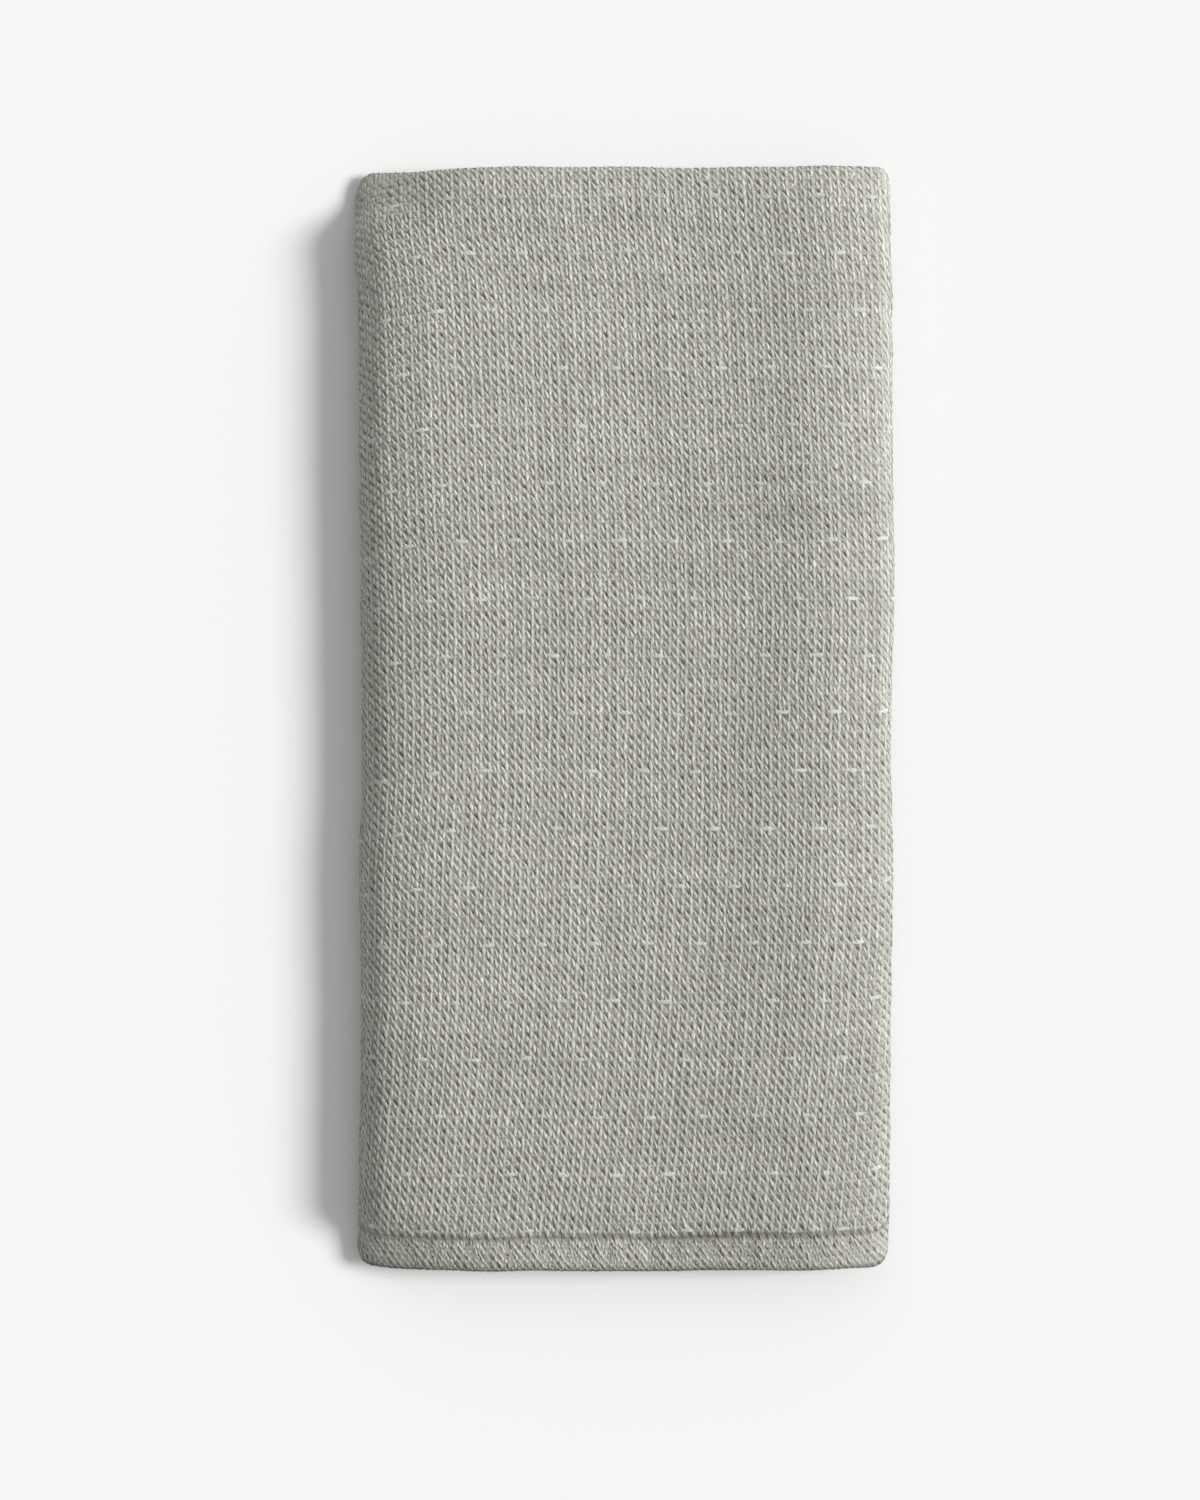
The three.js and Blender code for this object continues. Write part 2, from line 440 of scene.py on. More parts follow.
    def pressed(self, x: Array, y: Array) -> Array:
        """The share of its height that the stack keeps at a place.

        Args:
            x: Place across the even stack.
            y: Place along it.

        Returns:
            The product of 1 - share * near_edge for each side, 1 - share * hump along the stitching,
            1 + share * hump * hump for each swell, and 1 - share * hump * hump for each low corner,
            the last hump being of the distance squared over its reach.
        """
        from_hem = y + self.length / 2
        share, spread = self.stitch_press
        kept = 1 - share * hump(from_hem - self.hem_depth, spread)
        for distance, (share, reach) in (
            (x + self.width / 2, self.pressed_left),
            (self.width / 2 - x, self.pressed_right),
            (self.length / 2 - y, self.pressed_fold),
            (from_hem, self.pressed_hem),
        ):
            kept = kept * (1 - share * near_edge(distance, reach))
        for mid_x, mid_y, wide, long, share in SWELLS:
            kept = kept * (1 + share * hump(x - mid_x, wide) * hump(y - mid_y, long))
        for corner_x, corner_y, wide, long, share in LOW_CORNERS:
            kept = kept * (1 - share * hump(x - corner_x, wide) * hump((y - corner_y) ** 2 / long, long))
        return kept

    def corner(self, x: Array, left: Reach, right: Reach) -> Array:
        """How far the rounded corners draw an end in: along * (1 - sqrt(1 - t squared)).

        Args:
            x: Place across the stack.
            left: How far the left corner reaches across and along.
            right: The same for the right corner.

        Returns:
            The distances, 0 away from both corners.
        """
        across = np.where(x < 0, left[0], right[0])
        along = np.where(x < 0, left[1], right[1])
        into = np.clip(1 - (self.width / 2 - np.abs(x)) / across, 0, 1)
        return along * (1 - np.sqrt(1 - into**2))

    def settle(self, x: Array, y: Array, z: Array) -> Array:
        """Settles points of the even stack: pressed, and drawn to its uneven outline.

        Args:
            x: Place across the even stack.
            y: Place along it.
            z: Height in it.

        Returns:
            The points, one row each. x and y run straight between the uneven sides and ends, which
            drift from layer to layer, and z is times what is kept.
        """
        share_x, share_y = x / self.width + 0.5, y / self.length + 0.5
        layer = z / (self.cloth + self.gap)
        room_x, room_y = self.yarn_room
        down = 1 - z / self.stack
        left = column(SIDES, "y", "left", y) + self.left_drift.at(y, layer) + room_x
        right = column(SIDES, "y", "right", y) + self.right_drift.at(y, layer) - room_x
        hem = column(ENDS, "x", "hem", x) + room_y + self.corner(x, *self.hem_corners)
        size, more = self.hem_uneven
        hem = hem + self.lower_set_back * down + (size + more * down) * self.hem_drift.at(x, layer)
        fold = column(ENDS, "x", "fold", x) - room_y - self.corner(x, *self.fold_corners)
        fold = fold + self.fold_drift.at(x, layer)
        settled_x = left + (right - left) * share_x + self.centring[0]
        settled_y = hem + (fold - hem) * share_y + self.centring[1]
        return np.stack([settled_x, settled_y, z * self.pressed(x, y)], axis=-1)

    def face_place(self, across: Array, around: Array) -> tuple[Array, Array]:
        """Finds where places on the face lie in the even stack.

        Args:
            across: Distance across.
            around: Distance around.

        Returns:
            Place across and place along: the fold line's x plus n times out_x, and y.
        """
        x, out_x = self.fold_at(across, "x", "out_x")
        n, y = self.loop_at(around, "n", "y")
        return x + n * out_x, y

    def from_stitching(self, across: Array, around: Array) -> Array:
        """Distance of places on the face from the hem's stitching, below 0 towards the hem's end."""
        x, y = self.face_place(across, around)
        return y + self.length / 2 - column(STITCH_LINE, "x", "depth", x)

    def painted_hem_shade(self, across: Array, around: Array) -> Array:
        """Finds the hem's painted shade, along the stitching's groove and at the hem's end.

        Args:
            across: Distance across.
            around: Distance around.

        Returns:
            1 - seam_shade * tightness * hump at the stitching - lip_shade * hump at the end.
        """
        x, y = self.face_place(across, around)
        tight = column(STITCH_LINE, "x", "tight", x)
        line = self.seam_shade * tight * hump(self.from_stitching(across, around), self.groove_spread)
        return 1 - line - self.lip_shade * hump(y + self.length / 2, self.lip_spread)

    def fine_relief(self, x: Array, from_end: Array) -> Array:
        """The hem's groove and puckers, as a height to add to a face.

        Args:
            x: Place across the stack.
            from_end: Distance from the hem's end.

        Returns:
            Minus groove * tightness * hump along the stitching, plus pucker * sine of a slanting,
            drifting phase * hump beside the stitching.
        """
        from_line = from_end - column(STITCH_LINE, "x", "depth", x)
        tight = column(STITCH_LINE, "x", "tight", x) * (1 + self.groove_drift.at(x, 0 * x))
        line = self.groove * tight * hump(from_line, self.groove_spread)
        phase = 2 * math.pi * (x + self.pucker_slant * from_end) / self.pucker_pitch
        phase = phase + self.pucker_drift.at(x, from_end)
        middle, spread = self.pucker_place
        beside = hump(from_line - middle, spread) * ease(0, 3, from_end)
        return self.pucker * np.sin(phase) * beside - line

    def place(self, across: Array, around: Array, lift: Array, rounding: Array | float = 1.0) -> Array:
        """Lays points on the towel.

        Args:
            across: Distance across.
            around: Distance around. It may run past either end of the outline.
            lift: Height above the face.
            rounding: Share of the layer's thickness that is left, below 1 at a rounded selvedge.

        Returns:
            The settled points: the fold line's point, plus the hairpin's n times the way out, plus
            the lift along the face's own way out.
        """
        across, around, lift = np.broadcast_arrays(across, around, lift)
        x, z, out_x, out_z = self.fold_at(across, "x", "z", "out_x", "out_z")
        n, y, half, away_n, away_y = self.loop_at(around, "n", "y", "half", "away_n", "away_y")
        relief = lift + self.fine_relief(x + n * out_x, y + self.length / 2)
        height = relief * rounding - half * (1 - rounding)
        n, y = n + height * away_n, y + height * away_y
        return self.settle(x + n * out_x, y, z + n * out_z)


def broad_normals(points: Array, faces: Array) -> Array:
    """Finds each vertex's normal with its faces counted by their area.

    Args:
        points: The vertices, one row each.
        faces: The triangles.

    Returns:
        The normals: the sum of the cross products of two sides of each face that meets the vertex,
        brought to length 1, which keeps flat tops flat.
    """
    first = points[faces[:, 0]]
    cross = np.cross(points[faces[:, 1]] - first, points[faces[:, 2]] - first)
    corners, count = faces.ravel(), len(points)
    total = np.stack([np.bincount(corners, np.repeat(axis, 3), count) for axis in cross.T], axis=-1)
    return total / np.maximum(np.linalg.norm(total, axis=1, keepdims=True), 1e-9)


def stand(name: str, data: bpy.types.ID) -> Piece:
    """Puts a mesh, a camera or a lamp into the scene.

    Args:
        name: Name of the object.
        data: What it shows.

    Returns:
        The object.
    """
    thing = bpy.data.objects.new(name, data)
    bpy.context.scene.collection.objects.link(thing)
    return thing


def write_mesh(name: str, points: Array, faces: Array, maps: dict[str, Array]) -> Piece:
    """Makes a mesh object from whole arrays.

    Args:
        name: Name of the piece.
        points: The vertices in millimetres, one row each.
        faces: The faces, one row each, all with the same number of corners.
        maps: By name, UV maps, with two numbers for each corner of each face, and point values, with
            one number for each vertex.

    Returns:
        The object, smooth-shaded, at the origin.
    """
    mesh = bpy.data.meshes.new(name)
    count, corners = faces.shape
    mesh.vertices.add(len(points))
    mesh.vertices.foreach_set("co", (points * METRES).astype(np.float32).ravel())
    mesh.loops.add(count * corners)
    mesh.loops.foreach_set("vertex_index", faces.astype(np.int32).ravel())
    mesh.polygons.add(count)
    mesh.polygons.foreach_set("loop_start", np.arange(0, count * corners, corners, dtype=np.int32))
    mesh.polygons.foreach_set("use_smooth", np.ones(count, bool))
    for key, values in maps.items():
        if values.ndim == 1:
            layer = mesh.attributes.new(key, "FLOAT", "POINT")
            layer.data.foreach_set("value", values.astype(np.float32))
        else:
            layer = mesh.uv_layers.new(name=key)
            layer.data.foreach_set("uv", values.astype(np.float32).reshape(-1))
    mesh.update(calc_edges=True)
    return stand(name, mesh)


@dataclass(frozen=True)
class YarnTone:
    """How light the yarn is from place to place, as a factor near 1: its own uneven tone, with painted
    light and shade.
    """

    shape: FoldedShape
    slub: Drift = Drift(11, 0.06, (2.3, 22))  # streaks along the weft, from thick and thin yarn
    band: Drift = Drift(12, 0.03, (7, 70))
    end: Drift = Drift(13, 0.06, (1.6, 55))  # from one warp yarn to the next
    reed: Reach = (0.02, 7.5)  # size and pitch

    def at(self, across: Array, around: Array) -> Array:
        """Works out the tone.

        Args:
            across: Distance across.
            around: Distance around.

        Returns:
            1 plus drifts along the weft and the warp, a cosine at the reed's pitch, and each patch of
            painted light and shade's share * hump * hump, all times the hem's painted shade.
        """
        tone = 1 + self.slub.at(around, across) + self.band.at(around, across) + self.end.at(across, around)
        size, pitch = self.reed
        tone = tone + size * np.cos(2 * math.pi * across / pitch)
        x, y = self.shape.face_place(across, around)
        # Painted light and shade in broad patches
        for mid_x, mid_y, wide, long, share in PAINTED_LIGHT_AND_SHADE:
            tone = tone + share * hump(x - mid_x, wide) * hump(y - mid_y, long)
        return tone * self.shape.painted_hem_shade(across, around)


class Nodes:
    """A short way to build a node tree."""

    def __init__(self, tree: bpy.types.NodeTree) -> None:
        """Takes the tree that the nodes go into."""
        self.tree = tree

    def add(self, kind: str, settings: dict | None = None, **inputs: object) -> bpy.types.Node:
        """Adds a node.

        Args:
            kind: The node's type, without the leading ShaderNode.
            settings: Its properties by name.
            inputs: Its inputs by name, with _ for a space or iN for input N. A socket is linked and
                anything else is set.

        Returns:
            The node.
        """
        node = self.tree.nodes.new("ShaderNode" + kind)
        for key, value in (settings or {}).items():
            setattr(node, key, value)
        for key, value in inputs.items():
            numbered = key[0] == "i" and key[1:].isdigit()
            socket = node.inputs[int(key[1:]) if numbered else key.replace("_", " ")]
            if isinstance(value, Socket):
                self.tree.links.new(value, socket)
            else:
                socket.default_value = value
        return node

    def math(self, operation: str, *values: object) -> Socket:
        """Adds a Math node and returns its result."""
        named = {f"i{k}": value for k, value in enumerate(values)}
        return self.add("Math", {"operation": operation}, **named).outputs[0]

    def blend(self, factor: object, low: object, high: object, kind: str = "MIX") -> Socket:
        """Mixes two colours by a factor and returns the colour."""
        settings = {"data_type": "RGBA", "blend_type": kind}
        return self.add("Mix", settings, i0=factor, i6=low, i7=high).outputs[2]


class Finish(Nodes):
    """The node tree of one material."""

    def __init__(self, name: str) -> None:
        """Starts a material with its Principled shader and output."""
        self.material = bpy.data.materials.new(name)
        self.material.use_nodes = True
        super().__init__(self.material.node_tree)
        self.tree.nodes.clear()
        self.shader = self.add("BsdfPrincipled")
        self.add("OutputMaterial", Surface=self.shader.outputs["BSDF"])

    def wire(self, value: Socket, name: str) -> None:
        """Links a socket to one of the shader's inputs."""
        self.tree.links.new(value, self.shader.inputs[name])

    def paint(self, colour: Socket, place: Socket) -> None:
        """Colours the shader.

        Args:
            colour: The yarn's colour. It is multiplied by the piece's tone value, which carries painted
                light and shade, and by the grain of single strands, which is noise stretched along their
                lean.
            place: A map in metres, across and along the cloth.
        """
        wide, long = GRAIN_SIZE
        turn, scale = (0, 0, -GRAIN_LEAN), (wide * METRES, long * METRES, 1)
        turned = self.add("Mapping", {"vector_type": "TEXTURE"}, Vector=place, Rotation=turn, Scale=scale)
        noise = self.add("TexNoise", Vector=turned.outputs["Vector"], Scale=1.0, Detail=1.0).outputs["Fac"]
        grain = self.math("MULTIPLY_ADD", noise, GRAIN_CONTRAST, 1 - GRAIN_CONTRAST / 2)
        tone = self.add("Attribute", {"attribute_name": "tone"}).outputs["Fac"]
        tone = self.math("MULTIPLY", tone, grain)
        self.wire(self.blend(1.0, colour, tone, "MULTIPLY"), "Base Color")

    def constants(self, **values: object) -> None:
        """Sets the shader's inputs by name, with _ for a space."""
        for key, value in values.items():
            self.shader.inputs[key.replace("_", " ")].default_value = value


@dataclass(frozen=True)
class FloatYarn:
    """The pale warp yarn of the floats: matt cotton, with painted shade where it dives."""

    colour: Colour = (0.497, 0.501, 0.466)
    # Painted shade where a float dives between its neighbours and on its underside
    deep: Colour = (0.42, 0.405, 0.345)  # where a float dives between its neighbours
    roughness: float = 0.9
    specular: float = 0.2
    sheen: float = 0.12
    sheen_roughness: float = 0.5

    def material(self, name: str) -> bpy.types.Material:
        """Builds the material.

        Args:
            name: Its name.

        Returns:
            The material. Its colour runs from deep, a painted shade, to pale with the piece's own depth
            value.
        """
        nodes = Finish(name)
        depth = nodes.add("Attribute", {"attribute_name": "depth"}).outputs["Fac"]
        colour = nodes.blend(depth, (*self.deep, 1), (*self.colour, 1))
        nodes.paint(colour, nodes.add("UVMap", {"uv_map": "cloth"}).outputs["UV"])
        nodes.constants(Roughness=self.roughness, Specular_IOR_Level=self.specular)
        nodes.constants(Sheen_Weight=self.sheen, Sheen_Roughness=self.sheen_roughness)
        return nodes.material


@dataclass(frozen=True)
class GroundWeave:
    """The ground between the floats: warm grey weft ribs, with a pit of painted shade beside each leaning
    float.
    """

    light: Colour = (0.44, 0.435, 0.385)
    dark: Colour = (0.34, 0.33, 0.28)
    # Painted shade in the pits between the floats
    pit: Colour = (0.1, 0.085, 0.06)
    rib_pitch: float = 1.5
    rib_wander: float = 5.0
    rib_noise: float = 120.0  # scales of the noises that shift the ribs and vary the pits
    pit_noise: float = 420.0
    rib_contrast: float = 0.3
    cell: Reach = (2.66, 3.0)  # pitch of the pits, across and along
    pit_place: Reach = (-1.65, -0.36)
    pit_way: Reach = (0.59, 0.81)  # the way that a pit is long, across and along
    pit_reach: Reach = (1.6, 0.4)
    pit_strength: Reach = (2.0, -0.25)  # factor of the noise, and what is added
    relief: float = 0.3
    bump: float = 0.6
    roughness: float = 0.95
    specular: float = 0.15

    def material(self, name: str) -> bpy.types.Material:
        """Builds the material.

        Args:
            name: Its name.

        Returns:
            The material. Its ribs are a sine of the weave map's distance along, shifted by noise. A
            pit is exp(-a * a - c * c) of the shares of its reach along and across its own way.
        """
        nodes = Finish(name)
        weave = nodes.add("UVMap", {"uv_map": "weave"}).outputs["UV"]
        noises = ((self.rib_noise, 2.0), (self.pit_noise, 1.0))
        drift, jitter = (
            nodes.add("TexNoise", Vector=weave, Scale=scale, Detail=detail).outputs["Fac"]
            for scale, detail in noises
        )
        place = nodes.add("SeparateXYZ", Vector=weave)
        weft = nodes.math("MULTIPLY", place.outputs["Y"], 2 * math.pi / (self.rib_pitch * METRES))
        weft = nodes.math("SINE", nodes.math("MULTIPLY_ADD", drift, self.rib_wander, weft))
        apart = []
        for axis, middle, pitch in zip("XY", self.pit_place, self.cell):
            distance = nodes.math("MULTIPLY_ADD", place.outputs[axis], 1 / METRES, -middle)
            apart.append(nodes.math("WRAP", distance, pitch / 2, -pitch / 2))
        (x, y), (long, wide) = self.pit_way, self.pit_reach
        along = nodes.math("MULTIPLY_ADD", apart[0], x / long, nodes.math("MULTIPLY", apart[1], y / long))
        aside = nodes.math("MULTIPLY_ADD", apart[0], y / wide, nodes.math("MULTIPLY", apart[1], -x / wide))
        squares = nodes.math("MULTIPLY_ADD", along, along, nodes.math("MULTIPLY", aside, aside))
        pits = nodes.math("EXPONENT", nodes.math("MULTIPLY", squares, -1.0))
        pits = nodes.math("MULTIPLY", pits, nodes.math("MULTIPLY_ADD", jitter, *self.pit_strength))
        ribs = nodes.math("MULTIPLY_ADD", weft, self.rib_contrast, 0.5)
        colour = nodes.blend(ribs, (*self.dark, 1), (*self.light, 1))
        # The pits are painted dark as shade
        nodes.paint(nodes.blend(pits, colour, (*self.pit, 1)), weave)
        height = nodes.math("MULTIPLY_ADD", pits, -1.0, ribs)
        bump = nodes.add("Bump", Height=height, Strength=self.bump, Distance=self.relief * METRES)
        nodes.wire(bump.outputs["Normal"], "Normal")
        nodes.constants(Roughness=self.roughness, Specular_IOR_Level=self.specular)
        return nodes.material


@dataclass(frozen=True)
class WeaveLines:
    """How the rows and columns of the weave run over the towel, in millimetres and degrees."""

    shape: FoldedShape
    column_pitch: float = 1.33
    row_pitch: float = 3.0
    left_dip: Reach = (4.7, 30.0)  # how far the rows sink towards the left side, and its reach
    left_from: Reach = (-95.0, -25.0)  # it eases in over this stretch up the towel
    right_rise: Reach = (1.3, 22.0)  # how far they rise towards the right side, and its reach
    right_until: Reach = (-70.0, 0.0)  # it eases out over this stretch
    wander: Drift = Drift(21, 0.5, (26, 31))
    lean: float = 17.5
    lean_left: Reach = (4.0, 26.0)  # how much more the floats lean at the left side, and its reach
    lean_turn: float = -9.0  # change of the lean over the left fold
    lean_turn_over: Reach = (-2.0, 9.0)
    lean_hem: float = 12.0
    lean_hem_until: Reach = (6.0, 15.0)
    lean_drift: Drift = Drift(22, 5.0, (8, 10))
    zigzag: float = 6.5  # how much more every other column leans, and the ones between less
    zigzag_drift: Drift = Drift(23, 0.5, (13, 17))
    sway: Reach = (5.1, 8.4)  # how far the columns bend to the left, at the fold and at the hem
    beside: Reach = (-0.13, 0.26)  # place of every other column's floats, across and along

    def sway_at(self, across: Array, around: Array) -> Array:
        """How far columns bend: the end's sway times the square of the share of the way to it."""
        share = self.shape.face_place(across, around)[1] / (self.shape.length / 2)
        return np.where(share > 0, *self.sway) * share**2

    def face_x(self, across: Array) -> Array:
        """Place across the stack of points on the pair's outer face: x plus reach times out_x."""
        x, out_x = self.shape.fold_at(across, "x", "out_x")
        return x + self.shape.pair / 2 * out_x

    def bow(self, across: Array, around: Array) -> Array:
        """How far each place of a row is moved along the towel from a straight line.

        Args:
            across: Distance across.
            around: Distance around.

        Returns:
            Minus dip * near_edge, easing in up the towel, plus rise * near_edge, easing out, plus a
            drift.
        """
        x, y = self.face_x(across), around - self.shape.length / 2
        (dip, dip_reach), (rise, rise_reach), half = self.left_dip, self.right_rise, self.shape.width / 2
        left = dip * near_edge(x + half, dip_reach) * ease(*self.left_from, y)
        right = rise * near_edge(half - x, rise_reach) * (1 - ease(*self.right_until, y))
        return right - left + self.wander.at(x, y)

    def lean_at(self, across: Array, around: Array, parity: Array) -> Array:
        """How far floats lean from the warp's way, in radians, their upper ends to the left.

        Args:
            across: Distance across.
            around: Distance around.
            parity: 0 or 1, for every other column.

        Returns:
            The lean: more at the left side, in the hem's band and in every other column, with drifts.
        """
        x, y = self.face_x(across), around - self.shape.length / 2
        left, (start, end) = self.shape.turns["left"], self.lean_turn_over
        more, reach = self.lean_left
        lean = self.lean + more * near_edge(x + self.shape.width / 2, reach)
        lean = lean + self.lean_turn * ease(left + start, left + end, across)
        lean = lean + self.lean_hem * (1 - ease(*self.lean_hem_until, around))
        lean = lean + self.lean_drift.at(x, y)
        opposed = (1 + self.zigzag_drift.at(x, y)) * (2 * parity - 1)
        return np.radians(lean + self.zigzag * opposed)


@dataclass
class GroundCloth:
    """The towel's one sheet: a closed mesh through all six layers, with its hems and selvedges."""

    shape: FoldedShape
    lines: WeaveLines
    finish: GroundWeave = GroundWeave()
    panel_step: float = 3.0
    hidden_step: float = 6.0
    right_step: float = 1.6
    left_step: float = 1.8
    fold_steps: int = 9
    selvedge: float = 1.1  # reach of the selvedges' rounding
    rim: tuple[float, ...] = (0, 0.12, 0.4, 1.0)  # shares of it that have stations
    ground: float = 0.17  # how far the ground lies under the floats' faces
    deepest: float = 0.9  # the same at most, as a share of half the thickness
    thinnest: float = 0.25
    bake_width: float = 1.03  # of the bake map, whose last strips take the selvedges' ladders
    bake_strips: Reach = (0.98, 0.99)
    bake_rung: Reach = (0.006, 0.8)  # a ladder's width and height there

    def across_stations(self) -> Array:
        """Lists the mesh's stations along the letter fold.

        Returns:
            The distances, closest at the selvedges and round the turns.
        """
        turns, total = self.shape.turns, self.shape.across_total
        rim = self.selvedge * np.array(self.rim)
        stops = (rim[-1], *turns.values(), total - rim[-1])
        paces = (self.hidden_step, self.right_step, self.panel_step, self.left_step, self.hidden_step)
        steps = [
            np.linspace(start, end, max(2, round((end - start) / pace) + 1))[:-1]
            for start, end, pace in zip(stops, stops[1:], paces)
        ]
        return np.concatenate([rim[:-1], *steps, total - rim[::-1]])

    def run_stations(self) -> Array:
        """Lists the stations along the middle of the layer, from the outer hem to the inner one.

        Returns:
            The distances.
        """
        form, paces = self.shape, (self.panel_step, self.hidden_step)
        body, inner = (np.linspace(0, 1, round(form.length / pace)) for pace in paces)
        return form.layers(form.hem_stations(False), body, inner, self.fold_steps)["run"]

    def build(self) -> Piece:
        """Builds the sheet.

        Returns:
            The object. Each station of the letter fold carries the hairpin's outline, and a ladder of
            faces closes each selvedge.
        """
        form = self.shape
        run, across = self.run_stations(), self.across_stations()
        around = np.concatenate([form.around_at(run, True), form.around_at(run[::-1], False)])
        edge = np.minimum(across, form.across_total - across)
        rounding = np.sqrt(1 - np.clip(1 - edge / self.selvedge, 0, 1) ** 2)
        rounding = np.maximum(self.thinnest, rounding)
        s, q = np.meshgrid(across, around, indexing="ij")
        depth = np.minimum(self.ground, self.deepest * form.loop_at(q, "half")[0])
        points = form.place(s, q, -depth, rounding[:, None])
        points[..., 2] = np.maximum(points[..., 2], 0)
        rows, turn = s.shape
        i, j = np.meshgrid(np.arange(rows - 1), np.arange(turn), indexing="ij")
        a, b = i * turn + j, i * turn + (j + 1) % turn
        sides = np.stack([a, b, b + turn, a + turn], axis=-1).reshape(-1, 4)
        k = np.arange(turn // 2 - 1)
        rungs = np.stack([k, turn - 1 - k, turn - 2 - k, k + 1], axis=-1)
        last = rungs[:, ::-1] + (rows - 1) * turn
        faces = np.concatenate([sides, rungs, last])
        cloth = np.stack([s, q], axis=-1).reshape(-1, 2)[faces]
        shift = np.stack([self.lines.sway_at(s, q), self.lines.bow(s, q)], axis=-1)
        weave = cloth - shift.reshape(-1, 2)[faces]
        closing = (j.ravel() == turn - 1).nonzero()[0]
        cloth[closing, 1:3, 1] += form.around_total
        weave[closing, 1:3, 1] += form.around_total
        bake = cloth / np.array([form.across_total * self.bake_width, form.around_total])
        count = len(k)
        wide, high = self.bake_rung
        for first, start in zip((len(sides), len(sides) + count), self.bake_strips):
            step = high / count
            corners = [[start, 0], [start + wide, 0], [start + wide, step], [start, step]]
            bake[first : first + count] = np.array(corners)
            bake[first : first + count, :, 1] += (k / count)[:, None]
        # The yarn's own uneven tone, with the painted light and shade
        tone = YarnTone(form).at(s, q).ravel()
        maps = {"weave": weave * METRES, "OFBake": bake, "tone": tone}
        piece = write_mesh("towel_ground_cloth", points.reshape(-1, 3), faces, maps)
        piece.data.materials.append(self.finish.material("ground weave"))
        return piece


@dataclass(frozen=True)
class Spindle:
    """The closed form that every float, tie and stitch takes: two tips with rings between them."""

    rings: int
    sides: int
    spread: float = 1.4  # brings the outer rings nearer to the tips
    from_angle: float = -20.0
    to_angle: float = 200.0
    boxy: Reach = (0.55, 0.8)  # powers that square off the sides and the top
    taper: float = 0.75

    def build(self) -> tuple[Array, Array, Array]:
        """Works out the form.

        Returns:
            The points, each with its shares of the length, the width and the thickness (-1 to 1), the
            triangles, and for each triangle whether it lies underneath. A ring is the cosine and the
            sine to their boxy powers, times a radius of 1 minus the first share squared, to the
            power of taper.
        """
        rings, sides = self.rings, self.sides
        along = np.linspace(-1, 1, rings + 2)[1:-1] * self.spread
        angle = np.radians(np.linspace(self.from_angle, self.to_angle, sides))
        radius = (1 - along**2) ** self.taper
        ring = [np.repeat(along, sides)]
        for part, power in zip((np.cos(angle), np.sin(angle)), self.boxy):
            ring.append(np.outer(radius, np.sign(part) * np.abs(part) ** power).ravel())
        points = np.vstack([[-1, 0, 0], np.stack(ring, -1), [1, 0, 0]])
        i, j = np.meshgrid(np.arange(rings - 1), np.arange(sides), indexing="ij")
        a, b = 1 + i * sides + j, 1 + i * sides + (j + 1) % sides
        c, d = a + sides, b + sides
        walls = np.concatenate([np.stack(corners, -1).reshape(-1, 3) for corners in ([a, c, b], [b, c, d])])
        k = np.arange(sides)
        near = np.stack([0 * k, 1 + k, 1 + (k + 1) % sides], -1)
        last = 1 + (rings - 1) * sides
        far = np.stack([0 * k + len(points) - 1, last + (k + 1) % sides, last + k], -1)
        under = np.tile(k == sides - 1, len(walls) // sides + 2)
        return points, np.concatenate([near, walls, far]), under


class Cover(Enum):
    """Where a piece of floats lies, with the spindles that are fine enough there."""

    OUTSIDE = Spindle(3, 5)
    ENDS = Spindle(3, 3)
    UNDERSIDE = Spindle(2, 3)


@dataclass(frozen=True)
class Patch:
    """A part of the cloth's face: ranges of the distances across and around, and its fineness."""

    across: Reach
    around: Reach
    fineness: float = 1.0  # share of the usual pitches and sizes

    def lattice(self, lines: WeaveLines) -> Array:
        """Lists the floats' places in the patch.

        Args:
            lines: The weave's pitches.

        Returns:
            Rows of distance across, distance around, column parity and fineness. Floats stand at
            whole columns and rows, half a row further in every other column.
        """
        wide, long = lines.column_pitch * self.fineness, lines.row_pitch * self.fineness
        columns, rows = (
            np.arange(math.ceil(start / pitch), math.ceil(end / pitch))
            for (start, end), pitch in ((self.across, wide), (self.around, long))
        )
        col, row = (grid.ravel() for grid in np.meshgrid(columns, rows, indexing="ij"))
        around = (row + 0.5 * (col % 2)) * long
        return np.stack([col * wide, around, col % 2, 0 * around + self.fineness])


